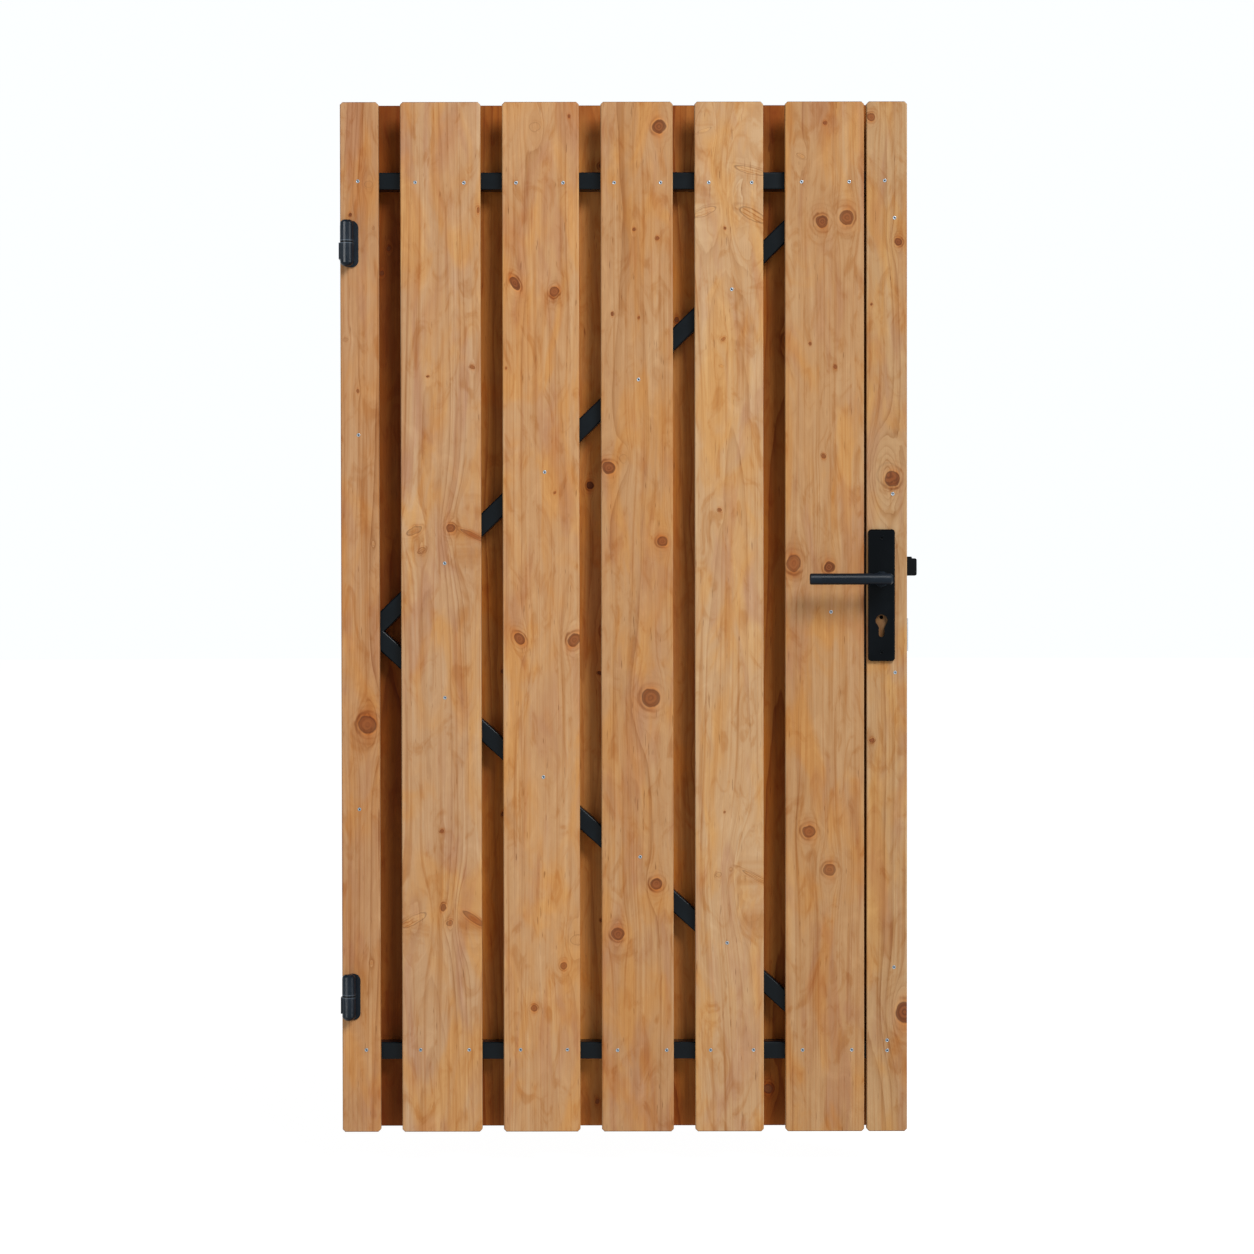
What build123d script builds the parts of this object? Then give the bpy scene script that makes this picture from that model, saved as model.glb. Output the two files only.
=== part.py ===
from build123d import *
import os

# Garden door: vertical boards on both faces of a welded steel frame, with a K brace,
# two lift-off hinges, a mortise lock in a lock box, and a lever handle on each face.
#
# X runs from the face of the hinge post to the lock side, Y from the front to the rear, Z up.
# The origin is on the post face, midway between the screw holes of the lower hinge leaf.
# Sizes are in millimetres. A height is measured from the bottom of the boards.

# How far a shape that cuts passes the face it cuts
CUT_OVERRUN = 1.0

# Boards
DOOR_WIDTH = 989.0
BOARD_LENGTH = 1800.0
BOARD_THICKNESS = 18.0
BOARD_CORNER_CUT = 4.5
BOARD_EDGE_RADIUS = 2.5
BOARD_INNER_ARRIS = 1.5
FRONT_BOARD_WIDTHS = (67.0, 140.0, 134.0, 126.0, 120.0, 138.0, 71.0)
LOCK_SLIT = 4.0
REAR_BOARD_WIDTH = 137.0
REAR_BOARD_COUNT = 6
REAR_BOARD_RISE = 2.0

# Steel frame
FRAME_FOOT_HEIGHT = 125.5
FRAME_HEAD_INSET = 120.5
TUBE_DEPTH = 40.0
STILE_WIDTH = 60.0
RAIL_HEIGHT = 30.0
TUBE_WALL = 2.0
TUBE_CORNER = 3.0
BRACE_MITRE_HEIGHT = 877.0
BRACE_START_RISE = 11.6
UPPER_BRACE_END_GAP = 76.5
LOWER_BRACE_END_GAP = 72.5
CAP_THICKNESS = 2.5
CAP_EDGE = 0.8
CAP_PLUG_LENGTH = 15.0
CAP_PLUG_CLEARANCE = 0.2

# Gaps at the hinge post
POST_CLEARANCE = 1.0
STILE_INSET = 4.0

# Hinges
LOWER_SEAM_HEIGHT = 240.0
UPPER_SEAM_INSET = 245.0
HINGE_TOP_LENGTH = 38.0
HINGE_FOOT_LENGTH = 43.0
BARREL_RADIUS = 11.5
BARREL_OFFSET = 12.9
BARREL_TOP_CHAMFER = 4.0
BARREL_DOME_EXTRA = 1.5
PIN_RADIUS = 6.0
PIN_LENGTH = 29.0
PIN_ROOT = 6.0
PIN_CLEARANCE = 0.1
PIN_END_ROOM = 1.1
PIN_END_CHAMFER = 1.5
WASHER_THICKNESS = 1.2
WASHER_INSET = 0.8
SEAM_CLEARANCE = 0.2
HINGE_PLATE_THICKNESS = 4.0
HINGE_PLATE_INSET = 3.0
HINGE_PLATE_WIDTH = 29.0
HINGE_PLATE_CORNER = 12.0
HINGE_PLATE_ARRIS = 1.2
BARREL_TO_PLATE = 1.0
WEB_WIDTH = 13.0
WEB_SHIFT = 3.0
LEAF_THICKNESS = 3.0
LEAF_HEIGHT = 28.5
LEAF_SEAM_GAP = 1.5
LEAF_REAR_INSET = 2.0
LEAF_NECK_FRONT = 2.5
LEAF_NECK_REAR = 7.0
LEAF_HOLE_RADIUS = 3.25
LEAF_SINK_RADIUS = 6.0
LEAF_HOLE_SPACING = 28.0
LEAF_HOLE_DEPTH = 23.0
NOTCH_MARGIN = 3.0

# Lock
BACKSET = 45.0
SPINDLE_HEIGHT = 967.0
SPINDLE_TO_CYLINDER = 72.0
LOCK_BOX_WIDTH = 85.0
SPINDLE_TO_BOX_FOOT = 157.0
LOCK_BOX_HEIGHT = 240.0
LOCK_BOX_HOLE_RADIUS = 10.0
FOREND_THICKNESS = 3.0
FOREND_SIDE_CLEARANCE = 0.3
FOREND_END_CLEARANCE = 0.5
FOREND_SCREW_RADIUS = 2.6
FOREND_SCREW_SINK = 4.6
FOREND_SCREW_INSET = 14.0
LOCK_CASE_DEPTH = 70.0
LOCK_CASE_THICKNESS = 17.0
LOCK_CASE_HEIGHT = 182.0
SPINDLE_TO_CASE_FOOT = 133.0
FOLLOWER_HOLE_RADIUS = 7.0
LATCH_FOOT_RISE = 6.5
LATCH_NOSE_HEIGHT = 30.5
LATCH_BASE_HEIGHT = 33.5
LATCH_PROJECTION = 19.5
LATCH_BASE_PROJECTION = 11.0
LATCH_THICKNESS = 13.0
LATCH_TIP_THICKNESS = 4.0
LATCH_SHANK = 14.0
LATCH_CORNER = 3.5
LATCH_BASE_CORNER = 1.8
CYLINDER_TO_BOLT_FOOT = 54.0
BOLT_HEIGHT = 58.0
BOLT_THICKNESS = 12.0
BOLT_PROJECTION = 4.5
BOLT_SHANK = 26.0
BOLT_CORNER = 1.0
GUIDE_CLEARANCE = 0.4
GUIDE_END_ROOM = 1.0
LUG_LENGTH = 63.0
SPINDLE_TO_LUG = 57.0

# Handles and their plates
PLATE_WIDTH = 46.5
PLATE_HEIGHT = 230.0
PLATE_THICKNESS = 8.0
SPINDLE_TO_PLATE_MIDDLE = 28.0
PLATE_CORNER = 5.5
PLATE_BEVEL = 2.2
PLATE_SCREW_SPACING = 199.0
PLATE_SCREW_RADIUS = 2.2
PLATE_SCREW_SINK = 3.8
KEYHOLE_RADIUS = 10.5
KEYHOLE_SLOT_WIDTH = 10.0
KEYHOLE_DROP = 29.0
KEYHOLE_TAPER_WIDTH = 14.0
KEYHOLE_TAPER_START = 7.8
KEYHOLE_TAPER_DROP = 12.0
PILOT_RADIUS = 3.5
PILOT_RISE = 5.5
LEVER_RADIUS = 9.8
LEVER_REACH = 128.0
LEVER_HEEL = 16.0
LEVER_STANDOFF = 50.0
LEVER_TIP_CHAMFER = 1.8
LEVER_HEEL_CHAMFER = 3.5
NECK_RADIUS = 11.0
NECK_CLEARANCE = 0.4
NECK_INSERT = 6.0
COLLAR_RADIUS = 13.5
COLLAR_THICKNESS = 2.5
COLLAR_GAP = 0.4
SPINDLE_SIZE = 8.0
SPINDLE_CLEARANCE = 0.1
SPINDLE_INSERT = 22.0
SPINDLE_HOLE_RADIUS = 10.0

# Planes that the pieces share
FRONT_FACE = -LEAF_HOLE_DEPTH
FRAME_FRONT = FRONT_FACE + BOARD_THICKNESS
FRAME_REAR = FRAME_FRONT + TUBE_DEPTH
REAR_FACE = FRAME_REAR + BOARD_THICKNESS
MIDDLE = (FRAME_FRONT + FRAME_REAR) / 2
HINGE_EDGE = POST_CLEARANCE
LOCK_EDGE = HINGE_EDGE + DOOR_WIDTH
HINGE_STILE_OUTER = HINGE_EDGE + STILE_INSET
HINGE_STILE_INNER = HINGE_STILE_OUTER + STILE_WIDTH
LOCK_STILE_INNER = LOCK_EDGE - STILE_WIDTH
LOCK_BOX_INNER = LOCK_EDGE - LOCK_BOX_WIDTH
AXIS_X = HINGE_EDGE + BARREL_OFFSET
AXIS_Y = FRONT_FACE - HINGE_PLATE_THICKNESS - BARREL_TO_PLATE - BARREL_RADIUS
SPINDLE_X = LOCK_EDGE - BACKSET
FOREND_INNER = LOCK_EDGE - FOREND_THICKNESS
DOME_RADIUS = BARREL_RADIUS + BARREL_DOME_EXTRA
LEAF_MIDDLE_DROP = LEAF_SEAM_GAP + LEAF_HEIGHT / 2
DOOR_BOTTOM = LEAF_MIDDLE_DROP - LOWER_SEAM_HEIGHT
PLATE_FACE = FRONT_FACE - PLATE_THICKNESS
LEVER_Y = PLATE_FACE - LEVER_STANDOFF


def at(height):
    """Z of a height above the bottom of the boards."""
    return DOOR_BOTTOM + height


FRAME_BOTTOM = at(FRAME_FOOT_HEIGHT)
FRAME_TOP = at(BOARD_LENGTH - FRAME_HEAD_INSET)
HINGE_SEAMS = (at(LOWER_SEAM_HEIGHT), at(BOARD_LENGTH - UPPER_SEAM_INSET))
SPINDLE_Z = at(SPINDLE_HEIGHT)
CYLINDER_Z = SPINDLE_Z - SPINDLE_TO_CYLINDER
LOCK_BOX_FOOT = SPINDLE_Z - SPINDLE_TO_BOX_FOOT
LOCK_BOX_TOP = LOCK_BOX_FOOT + LOCK_BOX_HEIGHT
LATCH_FOOT = SPINDLE_Z + LATCH_FOOT_RISE
LATCH_REACH = (LATCH_FOOT, LATCH_FOOT + LATCH_BASE_HEIGHT)
BOLT_FOOT = CYLINDER_Z - CYLINDER_TO_BOLT_FOOT
BOLT_REACH = (BOLT_FOOT, BOLT_FOOT + BOLT_HEIGHT)


# Simple shapes

def past(low, high):
    """Span of a cutting shape that passes both faces of what it cuts."""
    return low - CUT_OVERRUN, high + CUT_OVERRUN


def block(x, y, z):
    """Box between a low and a high value on each axis."""
    sizes = [high - low for low, high in (x, y, z)]
    middles = [(low + high) / 2 for low, high in (x, y, z)]
    return Pos(*middles) * Box(*sizes)


def rounded_slab(x, y, z, corner):
    """Slab whose outline in the door's plane has rounded corners."""
    outline = RectangleRounded(x[1] - x[0], z[1] - z[0], corner)
    middle = Pos((x[0] + x[1]) / 2, (z[0] + z[1]) / 2)
    return extrude(Plane.XZ.offset(-y[1]) * middle * outline, y[1] - y[0])


def rod_x(x, y, z, radius):
    """Round bar along X, from x[0] to x[1]."""
    return Pos((x[0] + x[1]) / 2, y, z) * Rot(0, 90, 0) * Cylinder(radius, x[1] - x[0])


def rod_y(x, y, z, radius):
    """Round bar along Y, from y[0] to y[1]."""
    return Pos(x, (y[0] + y[1]) / 2, z) * Rot(90, 0, 0) * Cylinder(radius, y[1] - y[0])


def rod_z(x, y, z, radius):
    """Round bar along Z, from z[0] to z[1]."""
    return Pos(x, y, (z[0] + z[1]) / 2) * Cylinder(radius, z[1] - z[0])


def hollow(width, height):
    """Section of a rectangular tube."""
    inner = TUBE_CORNER - TUBE_WALL
    outside = RectangleRounded(width, height, TUBE_CORNER)
    return outside - RectangleRounded(width - 2 * TUBE_WALL, height - 2 * TUBE_WALL, inner)


def sink_x(x, y, z, radius, depth):
    """Countersink that opens towards +X at x."""
    cone = Cone(radius - depth, radius, depth)
    return Pos(x - depth / 2, y, z) * Rot(0, 90, 0) * cone


def rim(piece, facing):
    """Edges of a slab's front rim where facing is -1, and of its rear rim where it is 1."""
    return piece.edges().group_by(Axis.Y)[0 if facing < 0 else -1]


def mirrored(piece):
    """The same piece on the door's other face."""
    return mirror(piece, about=Plane.XZ.offset(-MIDDLE))


# Boards

def board(left, width, front, facing, rise=0):
    """Planed board with its corners cut, rounded where it faces outwards and arrissed inside."""
    bottom = DOOR_BOTTOM + rise
    slab = block((left, left + width), (front, front + BOARD_THICKNESS), (bottom, bottom + BOARD_LENGTH))
    slab = chamfer(slab.edges().filter_by(Axis.Y), BOARD_CORNER_CUT)
    slab = chamfer(rim(slab, -facing), BOARD_INNER_ARRIS)
    return fillet(rim(slab, facing), BOARD_EDGE_RADIUS)


def front_board_lefts():
    """Left edge of each front board. Equal gaps take up what the boards leave."""
    gap_count = len(FRONT_BOARD_WIDTHS) - 2
    gap = (DOOR_WIDTH - LOCK_SLIT - sum(FRONT_BOARD_WIDTHS)) / gap_count
    lefts = [HINGE_EDGE]
    for width in FRONT_BOARD_WIDTHS[:-2]:
        lefts.append(lefts[-1] + width + gap)
    lefts.append(LOCK_EDGE - FRONT_BOARD_WIDTHS[-1])
    return lefts


def rear_board_lefts():
    """Left edge of each rear board, evenly spaced across the door."""
    step = (DOOR_WIDTH - REAR_BOARD_WIDTH) / (REAR_BOARD_COUNT - 1)
    return [HINGE_EDGE + number * step for number in range(REAR_BOARD_COUNT)]


def hinge_notch(seam):
    """Room in the edge of the first front board for the lug and the leaf of a hinge."""
    reach = LEAF_SEAM_GAP + LEAF_HEIGHT + NOTCH_MARGIN
    across = (HINGE_EDGE - CUT_OVERRUN, HINGE_STILE_OUTER)
    return block(across, past(FRONT_FACE, FRAME_FRONT), (seam - reach, seam + reach))


def spindle_hole():
    """Round hole through both board layers for the spindle."""
    return rod_y(SPINDLE_X, past(FRONT_FACE, REAR_FACE), SPINDLE_Z, SPINDLE_HOLE_RADIUS)


def pilot_hole():
    """Small hole drilled through the boards behind the keyholes."""
    return rod_y(SPINDLE_X, past(FRONT_FACE, REAR_FACE), CYLINDER_Z + PILOT_RISE, PILOT_RADIUS)


def front_boards():
    boards = [
        board(left, width, FRONT_FACE, -1)
        for left, width in zip(front_board_lefts(), FRONT_BOARD_WIDTHS)
    ]
    for seam in HINGE_SEAMS:
        boards[0] -= hinge_notch(seam)
    boards[-1] = boards[-1] - spindle_hole() - pilot_hole()
    return boards


def rear_boards():
    boards = [
        board(left, REAR_BOARD_WIDTH, FRAME_REAR, 1, REAR_BOARD_RISE)
        for left in rear_board_lefts()
    ]
    boards[-1] = boards[-1] - spindle_hole() - pilot_hole()
    return boards


# Steel frame

def stile(outer, inner, bottom, top):
    """Upright tube between two heights."""
    section = Pos((outer + inner) / 2, MIDDLE, bottom) * hollow(STILE_WIDTH, TUBE_DEPTH)
    return extrude(section, top - bottom)


def rail(bottom):
    """Level tube between the stiles."""
    section = Pos(MIDDLE, bottom + RAIL_HEIGHT / 2) * hollow(TUBE_DEPTH, RAIL_HEIGHT)
    return extrude(Plane.YZ.offset(HINGE_STILE_INNER) * section, LOCK_STILE_INNER - HINGE_STILE_INNER)


def brace(start_z, end_x, end_z, reach_z):
    """Sloping tube, cut flush with the stile, the rail and the other brace."""
    start = Vector(HINGE_STILE_INNER, MIDDLE, start_z)
    end = Vector(end_x, MIDDLE, end_z)
    along = (end - start).normalized()
    overrun = 2 * RAIL_HEIGHT
    plane = Plane(start - along * overrun, x_dir=(0, 1, 0), z_dir=along)
    tube = extrude(plane * hollow(TUBE_DEPTH, RAIL_HEIGHT), (end - start).length + 2 * overrun)
    return tube & block((HINGE_STILE_INNER, LOCK_STILE_INNER), (FRAME_FRONT, FRAME_REAR), reach_z)


def braces():
    """Upper and lower brace, which meet on the hinge stile."""
    mitre = at(BRACE_MITRE_HEIGHT)
    top = FRAME_TOP - RAIL_HEIGHT
    bottom = FRAME_BOTTOM + RAIL_HEIGHT
    upper_end = LOCK_STILE_INNER - UPPER_BRACE_END_GAP
    lower_end = LOCK_STILE_INNER - LOWER_BRACE_END_GAP
    upper = brace(mitre + BRACE_START_RISE, upper_end, top, (mitre, top))
    lower = brace(mitre - BRACE_START_RISE, lower_end, bottom, (bottom, mitre))
    return upper, lower


def end_cap(outer, inner, z, towards):
    """Plastic cap with a plug that fits inside a stile. towards is 1 at the top and -1 at the foot."""
    middle = (outer + inner) / 2
    outline = Pos(middle, MIDDLE, z) * RectangleRounded(STILE_WIDTH, TUBE_DEPTH, TUBE_CORNER)
    head = extrude(outline, towards * CAP_THICKNESS)
    head = chamfer(head.faces().sort_by(Axis.Z)[-1 if towards > 0 else 0].edges(), CAP_EDGE)
    shrink = 2 * (TUBE_WALL + CAP_PLUG_CLEARANCE)
    plug = Box(STILE_WIDTH - shrink, TUBE_DEPTH - shrink, CAP_PLUG_LENGTH)
    plug = chamfer(plug.edges().filter_by(Axis.Z), TUBE_CORNER - TUBE_WALL)
    return head + Pos(middle, MIDDLE, z - towards * CAP_PLUG_LENGTH / 2) * plug


def lock_box():
    """Folded steel box in the lock stile, open towards the lock edge."""
    outside = block((LOCK_BOX_INNER, LOCK_EDGE), (FRAME_FRONT, FRAME_REAR), (LOCK_BOX_FOOT, LOCK_BOX_TOP))
    inside = block((LOCK_BOX_INNER + TUBE_WALL, LOCK_EDGE + CUT_OVERRUN),
                   (FRAME_FRONT + TUBE_WALL, FRAME_REAR - TUBE_WALL),
                   (LOCK_BOX_FOOT + TUBE_WALL, LOCK_BOX_TOP - TUBE_WALL))
    box = fillet(outside.edges().filter_by(Axis.Z).group_by(Axis.X)[0], TUBE_CORNER) - inside
    through = past(FRAME_FRONT, FRAME_REAR)
    spindle = rod_y(SPINDLE_X, through, SPINDLE_Z, LOCK_BOX_HOLE_RADIUS)
    return box - spindle - keyhole(through)


def board_lug():
    """Short tube on the lock box that holds the middle of the last wide front board."""
    section = Pos(MIDDLE, SPINDLE_Z - SPINDLE_TO_LUG) * hollow(TUBE_DEPTH, RAIL_HEIGHT)
    return extrude(Plane.YZ.offset(LOCK_BOX_INNER - LUG_LENGTH) * section, LUG_LENGTH)


# Hinges

def hinge_barrel(seam, towards):
    """One half of the barrel, chamfered above the seam (towards 1) and domed below it (-1)."""
    if towards > 0:
        bottom = seam + WASHER_THICKNESS / 2 + SEAM_CLEARANCE
        barrel = rod_z(AXIS_X, AXIS_Y, (bottom, seam + HINGE_TOP_LENGTH), BARREL_RADIUS)
        return chamfer(barrel.edges().filter_by(GeomType.CIRCLE).sort_by(Axis.Z)[-1], BARREL_TOP_CHAMFER)
    foot = seam - HINGE_FOOT_LENGTH
    dome_middle = foot + DOME_RADIUS
    dome = rod_z(AXIS_X, AXIS_Y, (foot, dome_middle), BARREL_RADIUS)
    dome &= Pos(AXIS_X, AXIS_Y, dome_middle) * Sphere(DOME_RADIUS)
    return dome + rod_z(AXIS_X, AXIS_Y, (dome_middle, seam - WASHER_THICKNESS / 2), BARREL_RADIUS)


def hinge_door_half(seam):
    """Face plate, upper barrel half and the lug that is welded to the stile."""
    left = HINGE_EDGE + HINGE_PLATE_INSET
    span = (left, left + HINGE_PLATE_WIDTH)
    plate_front = FRONT_FACE - HINGE_PLATE_THICKNESS
    tall = (seam - HINGE_FOOT_LENGTH, seam + HINGE_TOP_LENGTH)
    plate = rounded_slab(span, (plate_front, FRONT_FACE), tall, HINGE_PLATE_CORNER)
    plate = chamfer(rim(plate, -1), HINGE_PLATE_ARRIS)
    web_left = AXIS_X - WEB_WIDTH / 2 + WEB_SHIFT
    web = block((web_left, web_left + WEB_WIDTH), (AXIS_Y, FRONT_FACE),
                (seam + LEAF_SEAM_GAP, seam + HINGE_TOP_LENGTH - BARREL_TOP_CHAMFER))
    lug = block((HINGE_EDGE, HINGE_STILE_OUTER),
                (plate_front + HINGE_PLATE_ARRIS, FRAME_REAR - LEAF_REAR_INSET),
                (seam + LEAF_SEAM_GAP, seam + LEAF_SEAM_GAP + LEAF_HEIGHT))
    half = plate + hinge_barrel(seam, 1) + web + lug
    bore_top = seam + PIN_LENGTH + PIN_END_ROOM
    return half - rod_z(AXIS_X, AXIS_Y, (seam, bore_top), PIN_RADIUS + PIN_CLEARANCE)


def hinge_post_half(seam):
    """Lower barrel half with the pin and the leaf that is screwed to the post."""
    barrel = hinge_barrel(seam, -1)
    pin = rod_z(AXIS_X, AXIS_Y, (seam - PIN_ROOT, seam + PIN_LENGTH), PIN_RADIUS)
    pin = chamfer(pin.edges().filter_by(GeomType.CIRCLE).sort_by(Axis.Z)[-1], PIN_END_CHAMFER)
    reach = (seam - LEAF_SEAM_GAP - LEAF_HEIGHT, seam - LEAF_SEAM_GAP)
    neck = block((0, AXIS_X), (AXIS_Y - LEAF_NECK_FRONT, AXIS_Y + LEAF_NECK_REAR), reach)
    leaf = block((0, LEAF_THICKNESS), (AXIS_Y - LEAF_NECK_FRONT, FRAME_REAR - LEAF_REAR_INSET), reach)
    half = barrel + pin + neck + leaf
    for y in (-LEAF_HOLE_SPACING / 2, LEAF_HOLE_SPACING / 2):
        z = seam - LEAF_MIDDLE_DROP
        half -= rod_x(past(0, LEAF_THICKNESS), y, z, LEAF_HOLE_RADIUS)
        half -= sink_x(LEAF_THICKNESS, y, z, LEAF_SINK_RADIUS, LEAF_SINK_RADIUS - LEAF_HOLE_RADIUS)
    return half


def hinge_washer(seam):
    """Thrust washer between the two halves of the barrel."""
    thick = (seam - WASHER_THICKNESS / 2, seam + WASHER_THICKNESS / 2)
    disc = rod_z(AXIS_X, AXIS_Y, thick, BARREL_RADIUS - WASHER_INSET)
    return disc - rod_z(AXIS_X, AXIS_Y, thick, PIN_RADIUS + PIN_CLEARANCE)


# Lock

def keyhole(y):
    """Pear-shaped cylinder hole along Y, from y[0] to y[1]."""
    half = KEYHOLE_SLOT_WIDTH / 2
    wide = KEYHOLE_TAPER_WIDTH / 2
    taper = Polygon(
        (-wide, -KEYHOLE_TAPER_START), (-half, -KEYHOLE_TAPER_DROP),
        (half, -KEYHOLE_TAPER_DROP), (wide, -KEYHOLE_TAPER_START), align=None)
    slot = Pos(0, -(KEYHOLE_DROP - half) / 2) * Rectangle(2 * half, KEYHOLE_DROP - half)
    outline = Circle(KEYHOLE_RADIUS) + taper + slot + Pos(0, -(KEYHOLE_DROP - half)) * Circle(half)
    return extrude(Plane.XZ.offset(-y[1]) * Pos(SPINDLE_X, CYLINDER_Z) * outline, y[1] - y[0])


def guide(x, thickness, z):
    """Straight passage for a sliding bolt, with its clearance."""
    half = thickness / 2 + GUIDE_CLEARANCE
    return block(x, (MIDDLE - half, MIDDLE + half), (z[0] - GUIDE_CLEARANCE, z[1] + GUIDE_CLEARANCE))


def lock_case():
    """Lock case behind the forend, open for the latch, the dead bolt, the spindle and a cylinder."""
    foot = SPINDLE_Z - SPINDLE_TO_CASE_FOOT
    half = LOCK_CASE_THICKNESS / 2
    thick = (MIDDLE - half, MIDDLE + half)
    case = block((FOREND_INNER - LOCK_CASE_DEPTH, FOREND_INNER), thick, (foot, foot + LOCK_CASE_HEIGHT))
    latch_end = FOREND_INNER - LATCH_SHANK - LATCH_PROJECTION - GUIDE_END_ROOM
    bolt_end = FOREND_INNER - BOLT_SHANK - GUIDE_END_ROOM
    case -= guide((latch_end, LOCK_EDGE), LATCH_THICKNESS, LATCH_REACH)
    case -= guide((bolt_end, LOCK_EDGE), BOLT_THICKNESS, BOLT_REACH)
    case -= rod_y(SPINDLE_X, past(*thick), SPINDLE_Z, FOLLOWER_HOLE_RADIUS)
    return case


def lock_forend():
    """Face plate of the lock, flush with the lock edge."""
    half = TUBE_DEPTH / 2 - TUBE_WALL - FOREND_SIDE_CLEARANCE
    inset = TUBE_WALL + FOREND_END_CLEARANCE
    foot = LOCK_BOX_FOOT + inset
    top = LOCK_BOX_TOP - inset
    forend = block((FOREND_INNER, LOCK_EDGE), (MIDDLE - half, MIDDLE + half), (foot, top))
    through = past(FOREND_INNER, LOCK_EDGE)
    forend -= guide(through, LATCH_THICKNESS, LATCH_REACH)
    forend -= guide(through, BOLT_THICKNESS, BOLT_REACH)
    for z in (foot + FOREND_SCREW_INSET, top - FOREND_SCREW_INSET):
        forend -= rod_x(through, MIDDLE, z, FOREND_SCREW_RADIUS)
        depth = FOREND_SCREW_SINK - FOREND_SCREW_RADIUS
        forend -= sink_x(LOCK_EDGE, MIDDLE, z, FOREND_SCREW_SINK, depth)
    return forend


def latch_bolt():
    """Spring latch: a nose with its closing bevel on the rear side, on a slightly taller base."""
    half = LATCH_THICKNESS / 2
    tip = LOCK_EDGE + LATCH_PROJECTION
    shoulder = LOCK_EDGE + LATCH_BASE_PROJECTION
    root = FOREND_INNER - LATCH_SHANK
    plan = Polygon(
        (root, MIDDLE - half), (tip, MIDDLE - half), (tip, MIDDLE - half + LATCH_TIP_THICKNESS),
        (shoulder, MIDDLE + half), (root, MIDDLE + half), align=None)
    nose = extrude(Pos(0, 0, LATCH_FOOT) * plan, LATCH_NOSE_HEIGHT)
    nose = fillet(nose.edges().filter_by(Axis.Y).group_by(Axis.X)[-1], LATCH_CORNER)
    base = block((root, shoulder), (MIDDLE - half, MIDDLE + half), LATCH_REACH)
    top_corner = base.edges().filter_by(Axis.Y).group_by(Axis.X)[-1].group_by(Axis.Z)[-1]
    return nose + fillet(top_corner, LATCH_BASE_CORNER)


def dead_bolt():
    """Flat dead bolt, drawn back until it stands just proud of the forend."""
    half = BOLT_THICKNESS / 2
    reach = (FOREND_INNER - BOLT_SHANK, LOCK_EDGE + BOLT_PROJECTION)
    bolt = block(reach, (MIDDLE - half, MIDDLE + half), BOLT_REACH)
    return chamfer(bolt.faces().sort_by(Axis.X)[-1].edges(), BOLT_CORNER)


# Handles

def front_escutcheon():
    """Handle plate on the front boards, with the spindle bore, the keyhole and two screw holes."""
    z = SPINDLE_Z - SPINDLE_TO_PLATE_MIDDLE
    span = (SPINDLE_X - PLATE_WIDTH / 2, SPINDLE_X + PLATE_WIDTH / 2)
    tall = (z - PLATE_HEIGHT / 2, z + PLATE_HEIGHT / 2)
    plate = rounded_slab(span, (PLATE_FACE, FRONT_FACE), tall, PLATE_CORNER)
    plate = chamfer(rim(plate, -1), PLATE_BEVEL)
    through = past(PLATE_FACE, FRONT_FACE)
    plate -= rod_y(SPINDLE_X, through, SPINDLE_Z, NECK_RADIUS + NECK_CLEARANCE)
    plate -= keyhole(through)
    for end in (-1, 1):
        screw_z = z + end * PLATE_SCREW_SPACING / 2
        plate -= rod_y(SPINDLE_X, through, screw_z, PLATE_SCREW_RADIUS)
        depth = PLATE_SCREW_SINK - PLATE_SCREW_RADIUS
        sink = Cone(PLATE_SCREW_RADIUS, PLATE_SCREW_SINK, depth)
        plate -= Pos(SPINDLE_X, PLATE_FACE + depth / 2, screw_z) * Rot(90, 0, 0) * sink
    return plate


def front_lever():
    """Straight round lever on a slightly thicker neck, with a square socket for the spindle."""
    bar = rod_x((SPINDLE_X - LEVER_REACH, SPINDLE_X + LEVER_HEEL), LEVER_Y, SPINDLE_Z, LEVER_RADIUS)
    bar = chamfer(bar.edges().filter_by(GeomType.CIRCLE).sort_by(Axis.X)[0], LEVER_TIP_CHAMFER)
    bar = chamfer(bar.edges().filter_by(GeomType.CIRCLE).sort_by(Axis.X)[-1], LEVER_HEEL_CHAMFER)
    neck_end = PLATE_FACE + NECK_INSERT
    neck = rod_y(SPINDLE_X, (LEVER_Y, neck_end), SPINDLE_Z, NECK_RADIUS)
    collar_front = PLATE_FACE - COLLAR_GAP - COLLAR_THICKNESS
    collar = rod_y(SPINDLE_X, (collar_front, PLATE_FACE - COLLAR_GAP), SPINDLE_Z, COLLAR_RADIUS)
    half = SPINDLE_SIZE / 2 + SPINDLE_CLEARANCE
    socket = block((SPINDLE_X - half, SPINDLE_X + half),
                   (neck_end - SPINDLE_INSERT - SPINDLE_CLEARANCE, neck_end + CUT_OVERRUN),
                   (SPINDLE_Z - half, SPINDLE_Z + half))
    return bar + neck + collar - socket


def spindle():
    """Square bar that turns both levers and the follower of the lock."""
    half = SPINDLE_SIZE / 2
    front = PLATE_FACE + NECK_INSERT - SPINDLE_INSERT
    rear = 2 * MIDDLE - front
    return block((SPINDLE_X - half, SPINDLE_X + half), (front, rear), (SPINDLE_Z - half, SPINDLE_Z + half))


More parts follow.
